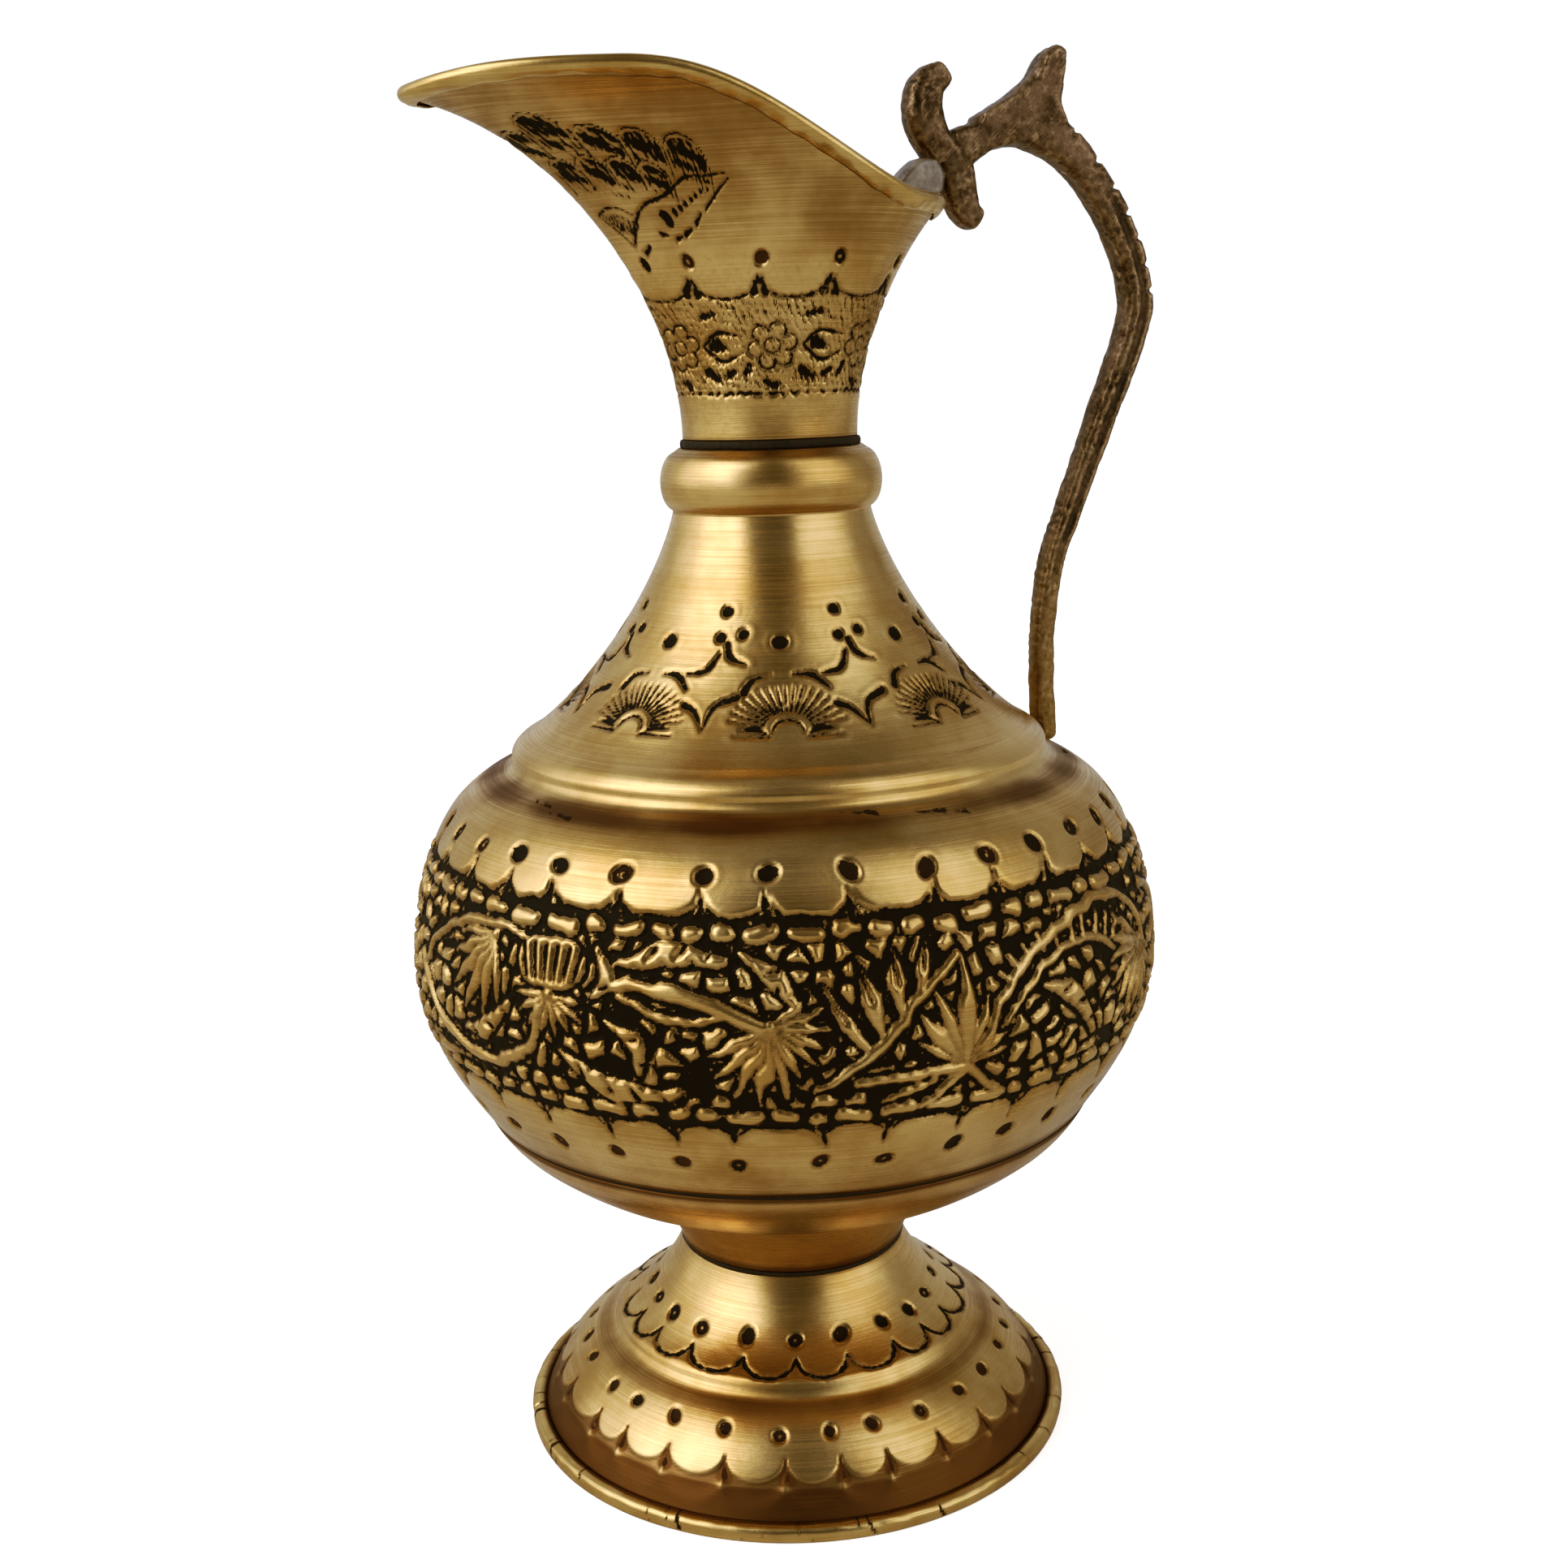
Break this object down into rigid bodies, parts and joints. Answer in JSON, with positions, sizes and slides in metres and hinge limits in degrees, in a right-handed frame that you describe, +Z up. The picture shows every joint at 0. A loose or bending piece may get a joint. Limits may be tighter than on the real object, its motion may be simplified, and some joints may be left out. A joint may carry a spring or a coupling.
{
  "type": "ewer",
  "caption": "Embossed brass ewer: a spun round-bellied pot on a pedestal foot, with a flared pouring spout, ringed neck and a slim curved cast handle",
  "frame": {"origin": "on the floor under the centre of the object's box, 4.5 mm behind the pot's own axis towards the handle", "axes": "+Z up along the pot's axis; the spout points to -X and the handle to +X; Y = 0 is the plane of symmetry"},
  "size_m": [0.153, 0.144, 0.2671],
  "materials": {
    "embossed_brass": "brushed antique brass with black in the punched recesses",
    "plain_brass": "brushed antique brass",
    "rim_brass": "satin brass, rubbed brighter on the edge",
    "cast_bronze": "rough dark cast bronze with brown tarnish",
    "black_solder": "blackened solder",
    "grey_solder": "smooth dull grey solder"
  },
  "bodies": {
    "root": {"foot_rim_ring": "rim_brass", "foot_flare": "embossed_brass", "stem_solder": "black_solder", "foot_stem": "plain_brass", "pan_solder": "grey_solder", "base_pan": "plain_brass", "seam_solder": "black_solder", "body_shell": "embossed_brass", "neck_solder": "black_solder", "spout_funnel": "embossed_brass", "mouth_rim": "rim_brass", "handle": "cast_bronze", "handle_rim_tab": "grey_solder"}
  },
  "joints": []
}
